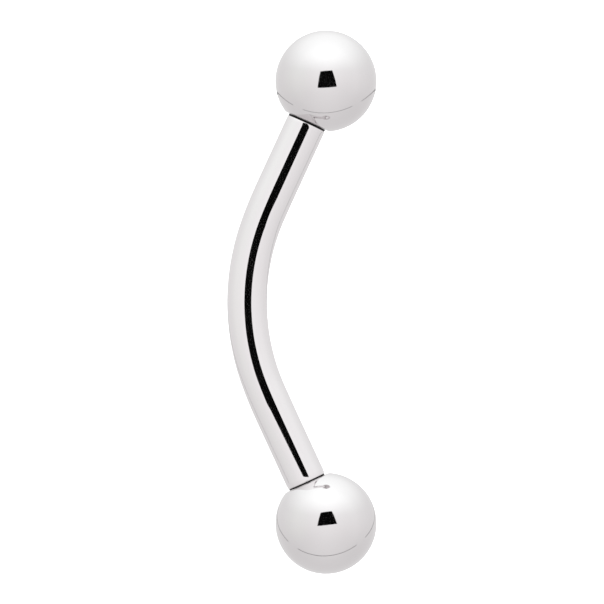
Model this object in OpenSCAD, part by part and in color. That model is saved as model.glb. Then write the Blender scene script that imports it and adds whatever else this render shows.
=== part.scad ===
// Curved eyebrow barbell: a bent round rod with a polished ball screwed on each end.
// It lies as it comes to rest by itself, on both balls and the middle of the bend.
// Origin: middle of its bounding box, at the surface it rests on. +Y runs from the lower ball
// to the upper one, +Z is up, and the bend's belly points to -X.

/* [Bar] */
// Thickness of the rod
bar_d = 1.2; // [1.2:0.1:1.6]
// How much thinner stretching has left the rod in the bend
bend_thinning = 0.02; // [0.02:0.01:0.04]
// Radius of the bend, to the middle of the rod
bend_radius = 6.8; // [6:0.1:9]
// Angle of each straight end to the line between the balls
end_angle = 24.8; // [20:0.2:30]
// Length of the straight rod from the bend to each ball
straight_length = 2.7; // [2.35:0.05:5]
// Radius of the rounded edge where the rod stops at a ball
shoulder_round = 0.05; // [0.03:0.01:0.15]

/* [Threaded posts] */
// Thickness of the post on each end, at the root of its thread
post_d = 0.88; // [0.8:0.02:0.88]
// Length of each post beyond its shoulder
post_length = 1.75; // [1:0.05:2]
// Bevel on the tip of each post
post_bevel = 0.12; // [0.05:0.01:0.2]

/* [Balls] */
// Diameter of each ball
ball_d = 3; // [3:0.1:4]
// Distance from a ball's centre to the flat that faces the rod
flat_height = 1.32; // [1.2:0.01:1.35]
// Bevel around the mouth of the hole
mouth_bevel = 0.06; // [0.02:0.01:0.08]

/* [Fits] */
// Gap all round a post in its hole
thread_gap = 0.02; // [0.01:0.01:0.05]
// Gap between the rod's shoulder and the ball's flat
seat_gap = 0.05; // [0.02:0.01:0.08]
// Gap between a post's tip and the bottom of its hole
tip_gap = 0.25; // [0.05:0.05:0.4]

/* [Hidden] */
$fn = 128;
bar_r = bar_d / 2;
bend_r = (bar_d - bend_thinning) / 2;
post_r = post_d / 2;
ball_r = ball_d / 2;
hole_r = post_r + thread_gap;
hole_depth = post_length - seat_gap + tip_gap;
upper = 0;
lower = 1;

// Distance along an end, from the bend to the ball's centre
ball_along = straight_length + seat_gap + flat_height;
// How far the middle of the bend stands off the line between the balls, and where that line runs
line_x = ball_along * sin(end_angle) - bend_radius * cos(end_angle);
rise = bend_radius + line_x;
// Lying on its side, the balls lift their line higher than the bend's belly, so the bend plane tilts
tilt = asin((ball_r - bend_r) / rise);
// Distance of the line between the balls from the middle of the whole width
line_shift = (rise * cos(tilt) + bend_r - ball_r) / 2;

// The bend is first drawn flat, about its own centre, and then tilted and set on the surface
module lying() {
    translate([line_shift, 0, ball_r])
        rotate([0, -tilt, 0])
            translate([-line_x, 0, 0])
                children();
}

// Puts a shape drawn along +Z on the rod's line, from the bend's end towards the upper or lower ball
module on_end(side) {
    mirror([0, side, 0])
        rotate([0, 0, -end_angle])
            translate([-bend_radius, 0, 0])
                rotate([-90, 0, 0])
                    children();
}

// The bend runs a little way into each straight end
module bend() {
    reach_angle = 2;
    rotate([0, 0, 180 - end_angle - reach_angle])
        rotate_extrude(angle = 2 * (end_angle + reach_angle))
            translate([bend_radius, 0])
                circle(r = bend_r);
}

// Half section of a straight end, its rounded shoulder and its post, with the rod's line along Y
module end_section() {
    square([bar_r, straight_length - shoulder_round]);
    square([bar_r - shoulder_round, straight_length]);
    translate([bar_r - shoulder_round, straight_length - shoulder_round])
        intersection() {
            circle(r = shoulder_round);
            square(shoulder_round);
        }
    tip = straight_length + post_length;
    polygon([
        [0, straight_length],
        [post_r, straight_length],
        [post_r, tip - post_bevel],
        [post_r - post_bevel, tip],
        [0, tip],
    ]);
}

module curved_bar() {
    color("gainsboro")
        lying() {
            bend();
            for (side = [upper, lower])
                on_end(side)
                    rotate_extrude()
                        end_section();
        }
}

// A ball drawn with its hole's mouth towards -Z, centred on the post's line
module drilled_ball() {
    difference() {
        sphere(r = ball_r);
        translate([0, 0, -ball_d - flat_height])
            cylinder(r = ball_r, h = ball_d);
        translate([0, 0, -flat_height - seat_gap])
            cylinder(r = hole_r, h = hole_depth + seat_gap);
        translate([0, 0, -flat_height])
            cylinder(r1 = hole_r + mouth_bevel, r2 = hole_r, h = mouth_bevel);
    }
}

module ball(side) {
    color("whitesmoke")
        lying()
            on_end(side)
                translate([0, 0, ball_along])
                    drilled_ball();
}

curved_bar();
ball(upper);  // upper_ball
ball(lower);  // lower_ball
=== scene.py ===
# %% [markdown]
# # A curved eyebrow barbell in polished steel
# The object is three pieces: a round rod with a bend in its middle, and a ball screwed onto each end.
# This lesson builds each piece as a surface that two numbers describe, gives it a mirror finish, and
# sets it in the plain white light that the photograph was taken in.
#
# First the CAD frame is loaded. It holds the same three pieces as plain solids in metres, lying on the
# floor at z = 0, and the pieces made here take their places.

import bpy
import numpy as np
from mathutils import Matrix


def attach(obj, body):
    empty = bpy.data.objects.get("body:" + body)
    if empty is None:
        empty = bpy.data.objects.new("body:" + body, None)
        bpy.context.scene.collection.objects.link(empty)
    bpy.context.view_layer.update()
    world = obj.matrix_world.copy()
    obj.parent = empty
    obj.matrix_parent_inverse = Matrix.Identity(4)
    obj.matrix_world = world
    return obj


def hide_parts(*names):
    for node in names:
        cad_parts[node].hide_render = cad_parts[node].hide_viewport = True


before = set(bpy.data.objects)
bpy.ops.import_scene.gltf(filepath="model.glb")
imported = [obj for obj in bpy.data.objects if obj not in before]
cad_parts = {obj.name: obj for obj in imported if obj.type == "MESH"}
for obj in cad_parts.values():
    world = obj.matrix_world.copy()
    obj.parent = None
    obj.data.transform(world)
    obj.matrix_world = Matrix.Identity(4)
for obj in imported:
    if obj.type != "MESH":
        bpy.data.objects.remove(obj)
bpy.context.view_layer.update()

MM = 0.001

# %% [markdown]
# ## The sizes
# A barbell of this kind is sold by three numbers: the thickness of its rod, the length between its balls
# and the size of the balls. Everything is written in millimetres here, because a learner can then check
# it with a ruler, and turned into Blender's metres at the very end.

# %% The sizes in millimetres
rod_radius = 0.6
rod_radius_in_bend = 0.59
bend_radius = 6.8
end_angle = np.radians(24.8)
straight_length = 2.7
post_length = 1.75
ball_radius = 1.5
flat_height = 1.32
hole_depth = 1.95
seat_gap = 0.05

# Distances along the rod from its middle: where the shoulder, the ball's flat and its centre are
half_bend = bend_radius * end_angle
shoulder = half_bend + straight_length
flat_at = shoulder + seat_gap
ball_centre = flat_at + flat_height
ball_along = ball_centre - half_bend
print("length of the rod from shoulder to shoulder:", round(2 * shoulder, 2))

# %% [markdown]
# ## How the barbell lies
# Left alone on a table, a bent barbell rolls onto its side and rests on three points: both balls and the
# middle of the bend. The balls are thicker than the rod, so the plane of the bend tilts. The rod's belly
# sinks until it touches, and the sine of the tilt is the difference between the two radii over the
# distance from the belly to the line between the balls.

# %% From the flat drawing to the table
line_x = ball_along * np.sin(end_angle) - bend_radius * np.cos(end_angle)
rise = bend_radius + line_x
tilt = np.arcsin((ball_radius - rod_radius_in_bend) / rise)
line_shift = (rise * np.cos(tilt) + rod_radius_in_bend - ball_radius) / 2


def lay_down(points):
    """Move points from the flat drawing, where z is the height above the bend's plane, to the table.

    The drawing slides until the line between the balls is the y axis, turns about that line by the
    tilt, and rises by a ball's radius."""
    x, y, z = points[..., 0] - line_x, points[..., 1], points[..., 2]
    cos, sin = np.cos(tilt), np.sin(tilt)
    return np.stack([x * cos - z * sin + line_shift, y, x * sin + z * cos + ball_radius], axis=-1)


print("tilt of the bend's plane:", round(float(np.degrees(tilt)), 2), "degrees")

# %% [markdown]
# ## The line of the rod
# The rod was a straight piece of wire, pressed round a former. Its middle line is an arc of a circle
# with a straight stretch at each end. One number, the distance along the wire from its middle, says
# where a point of that line is.
#
# Springy wire doesn't go from round to straight at one point: its curvature fades out over a short
# stretch. A mirror shows that at once, because the reflections would have a kink there. So the angle of
# the wire is a running sum of its curvature, and the line a running sum of its direction.

# %% A point and a normal for each distance
fade_length = 1.6
line_length = half_bend + ball_along + ball_radius
line_samples = 6001
along = np.linspace(-line_length, line_length, line_samples)
curvature = np.interp(np.abs(along), [half_bend - fade_length / 2, half_bend + fade_length / 2],
                      [1 / bend_radius, 0])


def running_sum(values):
    """Give the area under the values from the middle of the line on, by the trapezium rule."""
    slices = (values[1:] + values[:-1]) / 2 * np.diff(along)
    total = np.concatenate([[0], np.cumsum(slices)])
    return total - np.interp(0, along, total)


angle_along = running_sum(curvature)
x_along, y_along = running_sum(np.sin(angle_along)), running_sum(np.cos(angle_along))

# The faded bend would end a hair to the side, so this share of the miss is taken off along the way
end_x = line_length * np.sin(end_angle) - half_bend * np.sin(end_angle) - bend_radius * np.cos(end_angle)
end_y = line_length * np.cos(end_angle) - half_bend * np.cos(end_angle) + bend_radius * np.sin(end_angle)
miss_x, miss_y = end_x + bend_radius - x_along[-1], end_y - y_along[-1]
share_of_miss = np.clip(np.abs(along) / half_bend, 0, 1) ** 2
x_along = x_along - bend_radius + miss_x * share_of_miss
y_along = y_along + miss_y * share_of_miss * np.sign(along)
print("the fade moves each end by", round(float(np.hypot(miss_x, miss_y)), 4), "mm before the correction")


def rod_line(distance):
    """Give the middle line of the rod, and its outward normal, at each distance from the middle, read from
    the running sums. The normal is the direction turned a quarter turn towards the belly."""
    angle = np.interp(distance, along, angle_along)
    middle = np.stack([np.interp(distance, along, x_along), np.interp(distance, along, y_along),
                       np.zeros_like(distance)], axis=-1)
    return middle, np.stack([-np.cos(angle), np.sin(angle), np.zeros_like(angle)], axis=-1)


def around_the_line(distance, radius, turn):
    """Give the points at a radius from the rod's line: outward times the cosine of the turn and straight
    up times its sine, both times the radius, added to the point of the line."""
    middle, outward = rod_line(distance)
    up = np.array([0.0, 0.0, 1.0])
    ring = np.cos(turn)[..., None] * outward + np.sin(turn)[..., None] * up
    return middle + radius[..., None] * ring

# %% [markdown]
# ## The screw thread
# Each end of the rod is turned down to a post with a fine right-hand thread, and the ball's hole has the
# thread that fits it. A screw thread is a ridge wound round a shaft: its height depends on the distance
# along the shaft less the part of a turn gone round it. A triangle wave of that number, cut off flat at
# its top and foot, has the 60 degree sides of a metric thread.

# %% The thread as a height over the post
thread_pitch = 0.25
thread_root = 0.44
thread_depth = 0.135
thread_runout = 0.1
thread_start = shoulder + thread_runout
thread_play = 0.025


def thread_ridge(distance, turn):
    """Give the ridge's share of its full height, from 0 at the root to 1 at the crest.

    The phase is the distance from the first turn over the pitch, less the turn over a full circle. The
    caller counts the turn the other way at the lower end, where the post points the other way."""
    phase = (distance - thread_start) / thread_pitch - turn / (2 * np.pi)
    wave = 1 - np.abs(2 * (phase - np.floor(phase)) - 1)
    foot, flank = 0.25, 0.625
    return np.clip((wave - foot) / flank, 0, 1)


print("thread turns on each post:", round((post_length - thread_runout) / thread_pitch, 1))

# %% [markdown]
# ## Outlines
# Every piece here is an outline spun about a line. An outline is a list of points, and each has three
# numbers: its distance along the line, its radius, and its bareness, which is 0 on a mirror and 1 where
# no polishing wheel has been. The bareness darkens the steel, and in the joint that darkness is painted
# shade as well as bare steel and compound.

# %% Stretches of an outline, and a spun outline
# The middle value darkens the thread a little and the last darkens the joint's ring to near-black: painted
# shade in the joint, as well as compound.
mirror, machined_and_shaded, compound_and_shade = 0, 0.3, 1
upper, lower = 1, -1


def with_bareness(points, bareness):
    """Put the bareness beside the distance and the radius of each point."""
    return np.column_stack([points, np.full(len(points), bareness)])


def line(start, end, bareness, steps):
    """Give points on a straight line, without its last point."""
    share = np.arange(steps)[:, None] / steps
    return with_bareness(np.array(start) * (1 - share) + np.array(end) * share, bareness)


def curve(start, corner, end, bareness, steps):
    """Give points on a curve that leaves the start towards the corner and reaches the end from it: the
    squared share of each, with twice the product for the corner. The last point is left out."""
    t = np.arange(steps)[:, None] / steps
    points = (1 - t) ** 2 * np.array(start) + 2 * t * (1 - t) * np.array(corner) + t**2 * np.array(end)
    return with_bareness(points, bareness)


def spun(outline, steps_around):
    """Give the distance, the radius and the bareness of the outline's points, each repeated on a ring, and
    the turn of every point on its ring: equal shares of a full circle."""
    distance, radius, bareness = np.repeat(outline.T[..., None], steps_around, axis=-1)
    turn = np.linspace(0, 2 * np.pi, steps_around, endpoint=False)
    return distance, radius, bareness, np.broadcast_to(turn, distance.shape)


print("a quarter of a line from 0 to 4:", line([0, 1], [4, 1], mirror, steps=4)[1])

# %% [markdown]
# ## From rings to a mesh
# The rings of a spun outline make a tube, and one point closes each end of it. Smooth shading needs
# normals that point outwards, and the signed volume tells whether they do: it is above zero if so.

# %% A mesh made from rings
pieces = bpy.data.collections.new("barbell")
bpy.context.scene.collection.children.link(pieces)


def closed_tube(name, rings, bareness, ends, end_bareness):
    """Make a mesh object from rings of points and the two end points that close it.

    Each face joins two neighbours of a ring with the same two of the next, and a fan of triangles joins
    each end ring with its end point. The signed volume is the sum over all triangles of the triple
    product of their corners, over six, and a negative one turns every face round."""
    count, around, _ = rings.shape
    index = len(ends) + np.arange(count * around).reshape(count, around)
    ahead = np.roll(index, -1, axis=1)
    quads = np.stack([index[:-1], ahead[:-1], ahead[1:], index[1:]], axis=-1).reshape(-1, 4)
    start_fan = np.stack([np.zeros(around, int), ahead[0], index[0]], axis=-1)
    end_fan = np.stack([np.ones(around, int), index[-1], ahead[-1]], axis=-1)
    points = lay_down(np.vstack([ends, rings.reshape(-1, 3)]))
    triangles = np.vstack([quads[:, [0, 1, 2]], quads[:, [0, 2, 3]], start_fan, end_fan])
    a, b, c = points[triangles[:, 0]], points[triangles[:, 1]], points[triangles[:, 2]]
    volume = float(np.einsum("ij,ij->", a, np.cross(b, c)) / 6)
    faces = quads.tolist() + start_fan.tolist() + end_fan.tolist()
    if volume < 0:
        faces = [face[::-1] for face in faces]
    mesh = bpy.data.meshes.new(name)
    mesh.from_pydata((points * MM).tolist(), [], faces)
    mesh.polygons.foreach_set("use_smooth", np.ones(len(faces), bool))
    bare_and_shade = mesh.attributes.new("bare_and_shade", "FLOAT", "POINT")
    bare_and_shade.data.foreach_set("value", np.concatenate([end_bareness, bareness.ravel()]))
    mesh.update()
    piece = bpy.data.objects.new(name, mesh)
    pieces.objects.link(piece)
    print(name, "volume:", round(abs(volume), 2), "cubic mm,", len(triangles), "triangles")
    return piece


print("collection for the pieces:", pieces.name)

# %% [markdown]
# ## The rod's outline
# The real rod is ground and tumbled until it shines, with a soft edge where it stops at the ball. The
# outline of one end is half of the bend, the straight end, the edge that polishing has rolled off, the
# neck, the threaded post and its bevelled tip.
#
# The shoulder is drawn on to within a hundredth of a millimetre of the ball, as it is when the ball is
# screwed home. The last bit of it is a near-black ring: painted shade in the narrow joint, as well as the
# black compound that stays where no polishing wheel reaches. The thread is cut after the polishing, so it
# is bright but not a mirror, and it is darkened a little as painted shade inside the joint. No two ends
# are polished quite alike, and the lower edge is rounder than the upper.

# %% The outline of each end
thread_crest = thread_root + thread_depth
thread_lead = 0.05
post_end = shoulder + post_length
tip_radius = 0.4
tip_bevel = 0.16
tip_step = 0.01
innermost_ring = 0.02
roll_off_length = {upper: 0.1, lower: 0.18}
roll_off_depth = {upper: 0.012, lower: 0.03}
ring_length = {upper: 0.06, lower: 0.042}
ring_inset = 0.006
joint_gap = 0.01


def end_outline(side):
    """Give the outline of one end, from the middle of the rod to the tip of its post.

    The rolled-off edge is a quarter of an ellipse: the sine of an angle along the rod, its cosine across."""
    ring_end = flat_at - joint_gap
    edge = ring_end - ring_length[side]
    edge_radius = rod_radius - roll_off_depth[side]
    ring_radius = edge_radius - ring_inset
    roll_start = edge - roll_off_length[side]
    thread = thread_start - thread_lead
    tip = post_end - tip_step
    quarter = np.linspace(0, np.pi / 2, num=24, endpoint=False)
    roll_off = np.column_stack([roll_start + roll_off_length[side] * np.sin(quarter),
                                edge_radius + roll_off_depth[side] * np.cos(quarter)])
    return np.vstack([
        line([0, rod_radius], [roll_start, rod_radius], mirror, steps=110),
        with_bareness(roll_off, mirror),
        # From here to the thread's root the ring is near-black: painted shade in the joint, and compound.
        line([edge, edge_radius], [edge, ring_radius], compound_and_shade, steps=2),
        line([edge, ring_radius], [ring_end, ring_radius], compound_and_shade, steps=3),
        line([ring_end, ring_radius], [ring_end, thread_root], compound_and_shade, steps=3),
        line([ring_end, thread_root], [thread, thread_root], machined_and_shaded, steps=4),
        line([thread, thread_root], [tip, thread_root], machined_and_shaded, steps=150),
        line([tip, thread_root], [post_end, thread_root], machined_and_shaded, steps=2),
        line([post_end, tip_radius], [post_end, innermost_ring], machined_and_shaded, steps=6),
    ])


print("points in the outline of an end:", len(end_outline(upper)))

# %% [markdown]
# ## The rod's surface
# Three things change the outline's radius. The bend is a hair thinner than the ends, because bending
# stretches the wire. The post carries the thread, which grows in over its first half turn. A bevel cuts
# the tip. The rings of the whole rod are the lower end's, turned round, and then the upper end's.

# %% The radius and the whole rod
rod_steps_around = 144
thinning_reach = (-0.7, 0.3)
thread_growth = 0.5 * thread_pitch


def rod_radius_at(distance, outline_radius, turn):
    """Give the rod's radius: the outline's, a little less in the bend, plus the thread on the post.

    The thinning's share falls from 1 to 0 across the end of the bend by a smooth step: three times the
    square less twice the cube. The bevel is a straight slope that cuts whatever is above it."""
    thin_to, thick_from = (half_bend + reach for reach in thinning_reach)
    share = np.clip((thick_from - distance) / (thick_from - thin_to), 0, 1)
    thinning = (rod_radius - rod_radius_in_bend) * share * share * (3 - 2 * share)
    grown = np.clip((distance - thread_start) / thread_growth, 0, 1)
    ridge = thread_depth * grown * thread_ridge(distance, turn)
    ridge_on_post = np.where(outline_radius > tip_radius, ridge, 0)
    bevel = tip_radius + (post_end - distance) * (thread_crest - tip_radius) / tip_bevel
    return np.minimum(outline_radius - thinning + ridge_on_post, bevel)


def rod_end(side):
    """Give the rings of one end of the rod, and the bareness of their points."""
    distance, outline_radius, bareness, turn = spun(end_outline(side), rod_steps_around)
    radius = rod_radius_at(distance, outline_radius, side * turn)
    return around_the_line(side * distance, radius, turn), bareness


upper_rings, upper_bareness = rod_end(upper)
lower_rings, lower_bareness = rod_end(lower)
rod_rings = np.concatenate([lower_rings[:0:-1], upper_rings])
rod_bareness = np.concatenate([lower_bareness[:0:-1], upper_bareness])
rod_tips = rod_line(np.array([-post_end, post_end]))[0]
curved_rod = closed_tube("curved_rod", rod_rings, rod_bareness, rod_tips, [machined_and_shaded, machined_and_shaded])

# %% [markdown]
# ## The balls
# A real ball of this kind is a ground steel ball with a small flat cut on it, and a threaded hole
# drilled from that flat. Its outline starts at the far pole, runs round the sphere to the flat, over its
# soft edge, across to the countersunk mouth, down the thread and ends in the hole's shallow cone.

# %% The ball's outline
mouth_radius = 0.6
mouth_depth = 0.12
mouth_edge = 0.02
soft_edge = 0.03
core = thread_root + thread_play
cone_depth = 0.1
bottom_gap = 0.01
pole_angle = 0.012
hole_steps = 150

flat_radius = float(np.sqrt(ball_radius**2 - flat_height**2))
flat_angle = np.pi - np.arcsin(flat_radius / ball_radius)
hole_end = flat_at + hole_depth - bottom_gap
cone_start = hole_end - cone_depth
polar = np.linspace(pole_angle, flat_angle - soft_edge, num=110)
sphere = np.column_stack([ball_centre + ball_radius * np.cos(polar), ball_radius * np.sin(polar)])
polished_outline = np.vstack([
    with_bareness(sphere[:-1], mirror),
    curve(sphere[-1], [flat_at, flat_radius], [flat_at, flat_radius - soft_edge], mirror, steps=8),
    line([flat_at, flat_radius - soft_edge], [flat_at, mouth_radius + mouth_edge], mirror, steps=4),
    curve([flat_at, mouth_radius + mouth_edge], [flat_at, mouth_radius],
          [flat_at + mouth_edge, mouth_radius - mouth_edge], mirror, steps=4),
])
hole_outline = np.vstack([
    # The hole's inside is rougher as machined steel and darker as painted shade in the hole.
    line([flat_at + mouth_edge, core], [cone_start, core], machined_and_shaded, steps=hole_steps),
    line([cone_start, core], [hole_end, innermost_ring], machined_and_shaded, steps=6),
])
ball_outline = np.vstack([polished_outline, hole_outline])
print("points in the outline of a ball:", len(ball_outline))

# %% [markdown]
# ## The balls' surfaces
# The hole takes its thread from the same rule as the post, a little wider, so the two stay in step. Its
# inside is machined, not polished, so it is rougher, and it is darkened a little as painted shade in the
# hole.

# %% Both balls
ball_steps_around = 192
row = np.arange(len(ball_outline))[:, None]
threaded = (row >= len(polished_outline)) & (row < len(polished_outline) + hole_steps)


def ball(name, side):
    """Make the ball at one end.

    Where the outline is inside the hole, the thread's ridge is added to its radius, and near the mouth the
    countersink, a straight slope, widens whatever is narrower."""
    distance, radius, bareness, turn = spun(ball_outline, ball_steps_around)
    ridge = thread_depth * thread_ridge(distance, side * turn)
    countersink = mouth_radius - (distance - flat_at) * (mouth_radius - core) / mouth_depth
    radius = np.where(threaded, np.maximum(radius + ridge, countersink), radius)
    rings = around_the_line(side * distance, radius, turn)
    poles = rod_line(side * np.array([ball_centre + ball_radius, hole_end]))[0]
    return closed_tube(name, rings, bareness, poles, [mirror, machined_and_shaded])


upper_ball = ball("upper_ball_polished", upper)
lower_ball = ball("lower_ball_polished", lower)

# %% [markdown]
# ## The polish
# Surgical steel polished to a mirror still isn't perfect. The polishing wheel leaves a faint haze in
# patches and hair lines too fine to see one by one. Both materials share one node group for that: it
# takes the point in millimetres and gives a roughness and a height for the bump.

# %% A node group for the haze of the polish
patch_noise = {"Scale": 2.2, "Detail": 4}
haze_range = {"From Min": 0.35, "From Max": 0.75, "To Min": 0.035, "To Max": 0.075}
hair_noise = {"Scale": 9, "Detail": 2}


def in_use(sockets, name):
    """Give the socket of that name that is switched on. A mix node has one for each kind of value."""
    return next(socket for socket in sockets if socket.enabled and socket.name == name)


def set_inputs(node, values):
    """Set the value of each named input of a node, and give the node back."""
    for name, value in values.items():
        in_use(node.inputs, name).default_value = value
    return node


def polish_group():
    """Make the group: slow noise for the patches of haze, and fine noise for the hair lines.

    The roughness is the first noise, stretched from one range to the other. The height is the second."""
    tree = bpy.data.node_groups.new("polish", "ShaderNodeTree")
    tree.interface.new_socket("Point", in_out="INPUT", socket_type="NodeSocketVector")
    tree.interface.new_socket("Roughness", in_out="OUTPUT", socket_type="NodeSocketFloat")
    tree.interface.new_socket("Height", in_out="OUTPUT", socket_type="NodeSocketFloat")
    entry = tree.nodes.new("NodeGroupInput")
    exit_node = tree.nodes.new("NodeGroupOutput")
    patches = set_inputs(tree.nodes.new("ShaderNodeTexNoise"), patch_noise)
    haze = set_inputs(tree.nodes.new("ShaderNodeMapRange"), haze_range)
    hairs = set_inputs(tree.nodes.new("ShaderNodeTexNoise"), hair_noise)
    tree.links.new(entry.outputs["Point"], patches.inputs["Vector"])
    tree.links.new(entry.outputs["Point"], hairs.inputs["Vector"])
    tree.links.new(patches.outputs["Fac"], haze.inputs["Value"])
    tree.links.new(haze.outputs["Result"], exit_node.inputs["Roughness"])
    tree.links.new(hairs.outputs["Fac"], exit_node.inputs["Height"])
    return tree


polish = polish_group()
print("group sockets:", [item.name for item in polish.interface.items_tree])

# %% [markdown]
# ## The two materials
# Steel reflects about two thirds of the light, red a touch more than green, which gives this part its
# faint warm pink. The rod and the balls are the same steel, but the rod's colour is set a little lighter
# than the balls', which is painted light. The rod was drawn through a die, so its hair lines run along
# it, and the balls were tumbled, so theirs run every way.

# %% Steel for the rod and for the balls
ball_colour = (0.70, 0.673, 0.681, 1)
# Lighter than the balls' colour though it is the same steel: painted light on the rod.
lightened_rod_colour = (0.757, 0.728, 0.737, 1)
# Near-black for the joint's ring and, a little, the thread: painted shade in the joint, as well as compound.
bare_and_shade_colour = (0.015, 0.015, 0.015, 1)
bare_roughness = 0.5
hair_height = 0.00004
hair_stretch_on_rod = (1, 6, 1)
hair_stretch_on_balls = (1, 1, 1)


def steel(name, colour, hair_stretch):
    """Make a polished steel whose hair lines are drawn out by the stretch along each axis.

    The object's own coordinates, in metres, are turned into millimetres over the stretch and go into the
    polish group, whose height bends the normal by some hundred-thousandths of a millimetre. The points'
    bareness mixes in the colour and the roughness of the dark joint: a little on the machined thread, and
    all of it on the ring. That near-black colour is painted shade in the joint, as well as compound."""
    material = bpy.data.materials.new(name)
    material.use_nodes = True
    tree = material.node_tree
    shader = set_inputs(tree.nodes["Principled BSDF"], {"Metallic": 1})
    bare_and_shade = tree.nodes.new("ShaderNodeAttribute")
    bare_and_shade.attribute_name = "bare_and_shade"
    tone = tree.nodes.new("ShaderNodeMix")
    tone.data_type = "RGBA"
    set_inputs(tone, {"A": colour, "B": bare_and_shade_colour})
    dulling = set_inputs(tree.nodes.new("ShaderNodeMix"), {"B": bare_roughness})
    place = tree.nodes.new("ShaderNodeTexCoord")
    scale = tree.nodes.new("ShaderNodeMapping")
    scale.inputs["Scale"].default_value = [1 / (MM * stretch) for stretch in hair_stretch]
    finish = tree.nodes.new("ShaderNodeGroup")
    finish.node_tree = polish
    bump = set_inputs(tree.nodes.new("ShaderNodeBump"), {"Strength": 1, "Distance": hair_height * MM})
    tree.links.new(place.outputs["Object"], scale.inputs["Vector"])
    tree.links.new(scale.outputs["Vector"], finish.inputs["Point"])
    tree.links.new(bare_and_shade.outputs["Fac"], in_use(tone.inputs, "Factor"))
    tree.links.new(in_use(tone.outputs, "Result"), shader.inputs["Base Color"])
    tree.links.new(bare_and_shade.outputs["Fac"], in_use(dulling.inputs, "Factor"))
    tree.links.new(finish.outputs["Roughness"], in_use(dulling.inputs, "A"))
    tree.links.new(in_use(dulling.outputs, "Result"), shader.inputs["Roughness"])
    tree.links.new(finish.outputs["Height"], bump.inputs["Height"])
    tree.links.new(bump.outputs["Normal"], shader.inputs["Normal"])
    return material


curved_rod.data.materials.append(steel("polished_rod_steel", lightened_rod_colour, hair_stretch_on_rod))
ball_steel = steel("polished_ball_steel", ball_colour, hair_stretch_on_balls)
for one_ball in (upper_ball, lower_ball):
    one_ball.data.materials.append(ball_steel)
print("materials:", [material.name for material in bpy.data.materials if material.users])

# %% [markdown]
# ## What moves with what
# The rod is one body and each ball another, because a ball unscrews. Each new piece takes the place of
# the plain solid with the same job and rides on its body.

# %% Bodies
for piece, node, body, slot in (
    (curved_rod, "curved_bar", "bar", "polished_rod"),
    (upper_ball, "upper_ball", "upper_end", "polished_ball"),
    (lower_ball, "lower_ball", "lower_end", "polished_ball"),
):
    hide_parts(node)
    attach(piece, body)
    print(piece.name, "rides on", body)

# %% [markdown]
# ## The camera
# The photograph looks straight at the plane of the bend, with the line between the balls upright. The
# plane leans by the tilt, so the camera leans with it and looks down at 67 degrees. A long lens from
# 15 cm keeps the proportions flat, as the photograph does. The picture's middle is a little to the left
# of the line between the balls.

# %% The camera at the photograph's angle
picture_right = np.array([np.cos(tilt), 0, np.sin(tilt)])
picture_up = np.array([0.0, 1.0, 0.0])
to_camera = np.array([-np.sin(tilt), 0, np.cos(tilt)])
balls_middle = np.array([line_shift, 0, ball_radius])
picture_width = 17.88
camera_distance = 150
sensor_width = 36
left_of_the_balls = 0.711
above_the_middle = 0.005
picture_middle = balls_middle - left_of_the_balls * picture_right + above_the_middle * picture_up

camera = bpy.data.objects.new("camera", bpy.data.cameras.new("camera"))
bpy.context.scene.collection.objects.link(camera)
axes = np.eye(4)
axes[:3, 0], axes[:3, 1], axes[:3, 2] = picture_right, picture_up, to_camera
axes[:3, 3] = (picture_middle + camera_distance * to_camera) * MM
camera.matrix_world = Matrix(axes.tolist())
camera.data.sensor_width = sensor_width
camera.data.lens = sensor_width * camera_distance / picture_width
nearest_metres, farthest_metres = 0.01, 2
camera.data.clip_start, camera.data.clip_end = nearest_metres, farthest_metres
bpy.context.scene.camera = camera
print("lens:", round(camera.data.lens, 1), "mm")
print("looking down at", round(90 - float(np.degrees(tilt)), 1), "degrees")

# %% [markdown]
# ## The floor
# The object lies on a plain white floor, lit from below as well, so that it stays white beside the
# steel. It is a single square that glows a little. Reflections don't see it, because the photograph's
# steel shows the tent all round and no floor.

# %% The white floor
floor_reach = 0.6
floor_look = {"Base Color": (0.9, 0.9, 0.9, 1), "Roughness": 0.9, "Emission Color": (1, 1, 1, 1),
              "Emission Strength": 0.6}
floor_corners = np.array([[-1, -1, 0], [1, -1, 0], [1, 1, 0], [-1, 1, 0]]) * floor_reach


def surface(name, points, faces, look):
    """Make a mesh object from points in metres, with one material that has the look's inputs."""
    mesh = bpy.data.meshes.new(name)
    mesh.from_pydata(points.tolist(), [], faces)
    thing = bpy.data.objects.new(name, mesh)
    bpy.context.scene.collection.objects.link(thing)
    material = bpy.data.materials.new(name)
    material.use_nodes = True
    set_inputs(material.node_tree.nodes["Principled BSDF"], look)
    mesh.materials.append(material)
    return thing


floor = surface("floor", floor_corners, [[0, 1, 2, 3]], floor_look)
floor.visible_glossy = False
print("width of the floor:", 2 * floor_reach, "m")

# %% [markdown]
# ## The slot in the reflections
# A mirror shows its surroundings. What gives this one its black stripe, and the small dark shape in each
# ball, is the opening that the camera looks through: a black sheet a few centimetres from the object,
# which leans back at the top. It was found by following the reflections in both balls back until they
# met. Only reflections see it.

# %% The slot that the camera looks through
def seen_by_mirrors(name, points, faces, tone):
    """Make a mesh that only reflections see, from points in millimetres right, up and towards the camera
    from the middle of the balls. Its tone is a glow, so no lamp changes it."""
    to_world = np.stack([picture_right, picture_up, to_camera])
    look = {"Base Color": (0, 0, 0, 1), "Specular IOR Level": 0, "Emission Color": (tone, tone, tone, 1),
            "Emission Strength": 1}
    thing = surface(name, (points @ to_world + balls_middle) * MM, faces, look)
    thing.visible_camera = False
    thing.visible_diffuse = False
    thing.visible_shadow = False
    return thing


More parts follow.
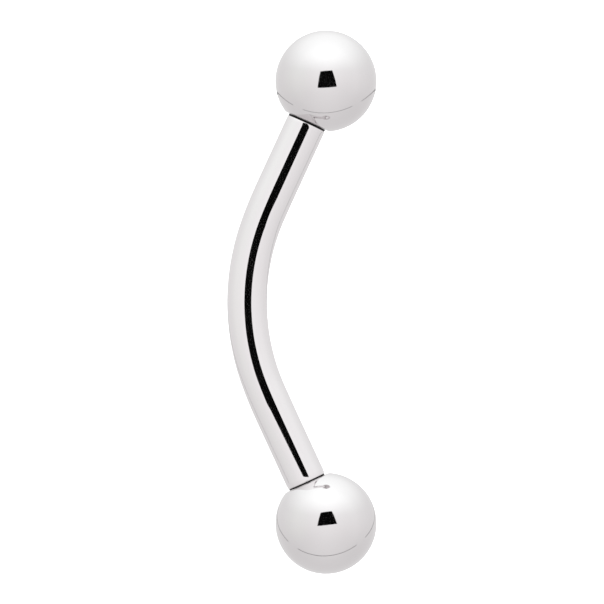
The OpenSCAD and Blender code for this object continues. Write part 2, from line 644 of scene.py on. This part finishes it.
slot_tone = 0.002
slot_corners = np.array([[-18, -10, 50], [19.5, -5.5, 43], [18, 34.5, 70], [-20, 36.5, 85]])
slot = seen_by_mirrors("slot", slot_corners, [[0, 1, 2, 3]], slot_tone)
print("the slot is", slot_corners[:, 2].min(), "to", slot_corners[:, 2].max(), "mm from the balls")

# %% [markdown]
# ## The rim in the reflections
# The thin grey line low in each ball is the rim of the round plate that the object stood over, which
# something hides in two places. It was found in the same way as the slot, and it is a narrow band whose
# points are the middle plus the radius times a circle, square to the plate's normal.

# %% The rim of the plate
rim_tone = 0.3
rim_middle = np.array([7, -20.4, -62])
rim_normal = np.array([0, 0.934, 0.357])
rim_radius = 78
rim_half_width = 1.1
rim_steps = 360
rim_gaps = ((212, 233), (304, 330))

rim_turn = np.linspace(0, 2 * np.pi, rim_steps, endpoint=False)[:, None]
across = np.array([1.0, 0.0, 0.0])
circle = np.cos(rim_turn) * across + np.sin(rim_turn) * np.cross(rim_normal, across)
rim_line = rim_middle + rim_radius * circle
rim_points = np.vstack([rim_line - rim_half_width * rim_normal, rim_line + rim_half_width * rim_normal])
step = np.arange(rim_steps)
after = np.roll(step, -1)
rim_faces = np.stack([step, after, after + rim_steps, step + rim_steps], axis=-1)
hidden = np.any([(step > gap_start) & (step < gap_end) for gap_start, gap_end in rim_gaps], axis=0)
rim = seen_by_mirrors("plate_rim", rim_points, rim_faces[~hidden].tolist(), rim_tone)
print("steps of the rim that show:", int((~hidden).sum()), "of", rim_steps)

# %% [markdown]
# ## The light
# The tent glows evenly, a little brighter round the camera and darker at the sides, with a soft lamp
# shining in from above the picture and a pale green card on the left. Four ramps say so: they read how
# far a direction turns from the camera, how far it points up the picture, how far across it, and how
# near it is to the card.

# %% The tones of the white tent
# Each stop is a cosine and a brightness
towards_camera_tones = ((-1, 0.82), (-0.8, 0.89), (-0.5, 0.89), (0, 0.92), (0.3, 0.98), (0.6, 1.0),
                        (1, 1.07))
up_the_picture_tones = ((-1, 0.91), (-0.6, 0.915), (-0.3, 0.95), (0, 1), (0.3, 1.045), (0.45, 1.105),
                        (0.65, 1.265), (0.8, 1.365), (1, 1.47))
across_tones = ((-1, 1.005), (-0.88, 0.985), (-0.66, 0.965), (-0.35, 0.99), (0, 1), (0.35, 0.99),
                (0.66, 0.965), (0.88, 0.985), (1, 1.005))
card_direction = 0.28 * to_camera - 0.96 * picture_right
card_tones = ((-1, 1), (0.78, 1), (0.9, 1.01), (1, 1.01))
no_tint = (1, 1, 1)
lamp_tint = (1, 1.04, 1.03)
card_tint = (0.9, 1, 0.9)
brightest = 1.5
print("the lamp is", up_the_picture_tones[-1][1], "times as bright as the tent beside it")

# %% [markdown]
# ## A ramp for each direction
# A ramp node turns a number into a colour. Here the number is the cosine between the ray and an axis,
# which runs from -1 to 1, so it is first moved to the ramp's own range from 0 to 1. A ramp can't hold
# more than 1, so each tone is kept as a share of the brightest one.

# %% The ramps of the tent
world = bpy.data.worlds.new("tent")
world.use_nodes = True
bpy.context.scene.world = world
tree = world.node_tree
direction = tree.nodes.new("ShaderNodeTexCoord").outputs["Generated"]


def maths(operation, *inputs):
    """Give the output of a vector node that works on the inputs, each a value or another output."""
    node = tree.nodes.new("ShaderNodeVectorMath")
    node.operation = operation
    for socket, value in zip((socket for socket in node.inputs if socket.enabled), inputs):
        if isinstance(value, bpy.types.NodeSocket):
            tree.links.new(value, socket)
        else:
            socket.default_value = value
    return next(socket for socket in node.outputs if socket.enabled)


def tone_along(axis, tones, tint):
    """Give a node output: the brightness over the brightest one, read from a ramp at the cosine between
    the ray and the axis. The tint comes in with the root of the share by which a stop is above 1."""
    share = set_inputs(tree.nodes.new("ShaderNodeMapRange"), {"From Min": -1})
    tree.links.new(maths("DOT_PRODUCT", direction, axis), share.inputs["Value"])
    ramp = tree.nodes.new("ShaderNodeValToRGB")
    ramp.color_ramp.interpolation = "B_SPLINE"
    stops = ramp.color_ramp.elements
    while len(stops) < len(tones):
        stops.new(position=0.5)
    for stop, (cosine, tone) in zip(stops, tones):
        tinted = np.clip((tone - 1) / (brightest - 1), 0, 1) ** 0.5
        colour = [tone / brightest * (1 + tinted * (channel - 1)) for channel in tint]
        stop.position = (cosine + 1) / 2
        stop.color = (*colour, 1)
    tree.links.new(share.outputs["Result"], ramp.inputs["Fac"])
    return ramp.outputs["Color"]


tones = [
    tone_along(to_camera, towards_camera_tones, no_tint),
    tone_along(picture_up, up_the_picture_tones, lamp_tint),
    tone_along(picture_right, across_tones, no_tint),
    tone_along(card_direction, card_tones, card_tint),
]
print("ramps:", len(tones))

# %% [markdown]
# ## What sees which light
# The product of the four ramps, times the brightest tone once for each, is the light that a reflection
# meets. The camera and the floor see plain white.

# %% The tent as the world
tent_strength = 1.07
plain_strength = 1.5

product = tones[0]
for tone in tones[1:]:
    product = maths("MULTIPLY", product, tone)
tent = maths("SCALE", product, tent_strength * brightest ** len(tones))
choice = tree.nodes.new("ShaderNodeMix")
choice.data_type = "VECTOR"
set_inputs(choice, {"A": [plain_strength] * 3})
background = set_inputs(tree.nodes["Background"], {"Strength": 1})
ray = tree.nodes.new("ShaderNodeLightPath")
tree.links.new(ray.outputs["Is Glossy Ray"], in_use(choice.inputs, "Factor"))
tree.links.new(tent, in_use(choice.inputs, "B"))
tree.links.new(in_use(choice.outputs, "Result"), background.inputs["Color"])
bpy.context.scene.view_settings.view_transform = "Standard"
print("world nodes:", len(tree.nodes))
